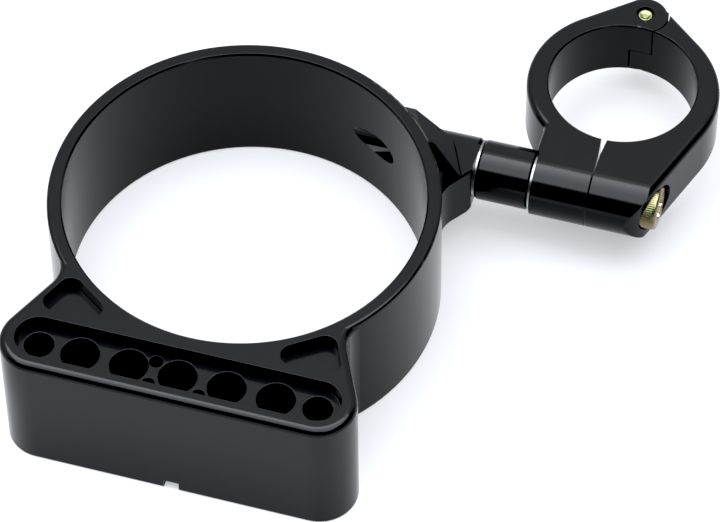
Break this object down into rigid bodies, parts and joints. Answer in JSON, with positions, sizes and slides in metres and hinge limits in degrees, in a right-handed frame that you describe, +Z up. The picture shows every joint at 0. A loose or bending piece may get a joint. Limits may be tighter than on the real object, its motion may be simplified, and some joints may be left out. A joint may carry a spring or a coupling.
{
  "type": "speedometer mount bracket",
  "caption": "Black billet ring for a round motorcycle gauge, with an indicator-lamp tray in front, on a hinged fork-tube clamp held by a bolt and spacer.",
  "frame": {"origin": "the gauge bore's axis at the ring's bottom face", "axes": "+Z up the gauge bore, +X along the bolt to the clamp, +Y away from the lamp tray"},
  "size_m": [0.1578, 0.1688, 0.0386],
  "materials": {
    "black_anodised": "satin",
    "bright_steel": "bright",
    "yellow_zinc": "plated"
  },
  "bodies": {
    "gauge": {"gauge_ring": "black_anodised", "inner_washer": "bright_steel", "spacer": "black_anodised", "outer_washer": "bright_steel"},
    "clamp": {"clamp_body": "black_anodised", "hinge_pin": "yellow_zinc"},
    "jaw": {"clamp_jaw": "black_anodised"},
    "bolt": {"clamp_bolt": "yellow_zinc"}
  },
  "joints": [
    {"name": "gauge_swivel", "type": "hinge", "parent": "gauge", "child": "clamp", "pos_m": [0.0667, 0.04, 0.0186], "axis": [1, 0, 0], "continuous": true},
    {"name": "bolt_back_off", "type": "slide", "parent": "gauge", "child": "bolt", "axis": [1, 0, 0], "range_m": [0, 0.00165]},
    {"name": "jaw_hinge", "type": "hinge", "parent": "clamp", "child": "jaw", "pos_m": [0.0817, 0.096, 0.0186], "axis": [0, 0, 1], "range_deg": [0, 1.52]}
  ],
  "couplings": [
    {"joint": "jaw_hinge", "follows": "bolt_back_off", "rad_per_m": 16}
  ]
}
